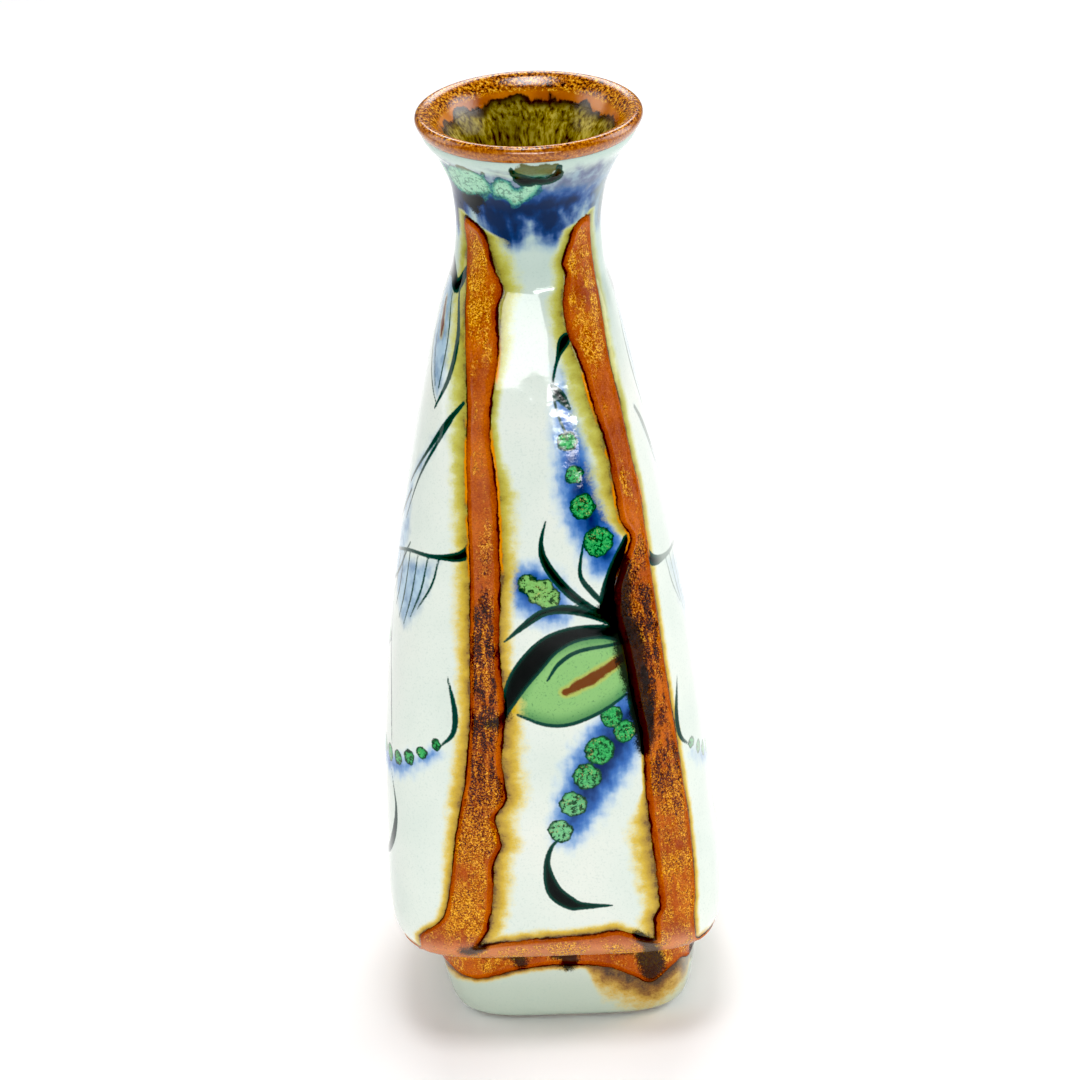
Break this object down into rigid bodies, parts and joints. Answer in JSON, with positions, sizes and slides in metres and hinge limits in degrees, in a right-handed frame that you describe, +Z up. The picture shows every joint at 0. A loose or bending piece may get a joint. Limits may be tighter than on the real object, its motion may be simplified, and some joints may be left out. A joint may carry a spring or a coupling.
{
  "type": "bottle vase",
  "caption": "Tall squared ceramic bottle vase with a recessed foot, tapering body, round flared mouth, raised brown glaze bands down its corners and painted leaf panels between them.",
  "frame": {"origin": "on the table under the middle of the vase, in the plane the foot ring rests on", "axes": "+Z up along the vase to its mouth, -Y out of the painted front panel, +X to the right of that panel"},
  "size_m": [0.087, 0.087, 0.24],
  "materials": {
    "clay": "matte bare stoneware",
    "panel_glaze": "gloss pale grey-green glaze, painted",
    "brown_glaze": "gloss orange-brown glaze with crystals",
    "foot_glaze": "gloss pale glaze",
    "neck_glaze": "gloss blue and green glaze",
    "rim_glaze": "gloss speckled amber glaze",
    "liner_glaze": "gloss olive glaze"
  },
  "bodies": {
    "root": {"foot_clay": "clay", "body_clay": "clay", "neck_clay": "clay", "panel_front": "panel_glaze", "panel_right": "panel_glaze", "panel_back": "panel_glaze", "panel_left": "panel_glaze", "band_front_left": "brown_glaze", "band_front_right": "brown_glaze", "band_back_right": "brown_glaze", "band_back_left": "brown_glaze", "base_belt": "brown_glaze", "foot_belt": "brown_glaze", "foot_glaze": "foot_glaze", "neck_glaze": "neck_glaze", "rim_glaze": "rim_glaze", "liner_glaze": "liner_glaze"}
  },
  "joints": []
}
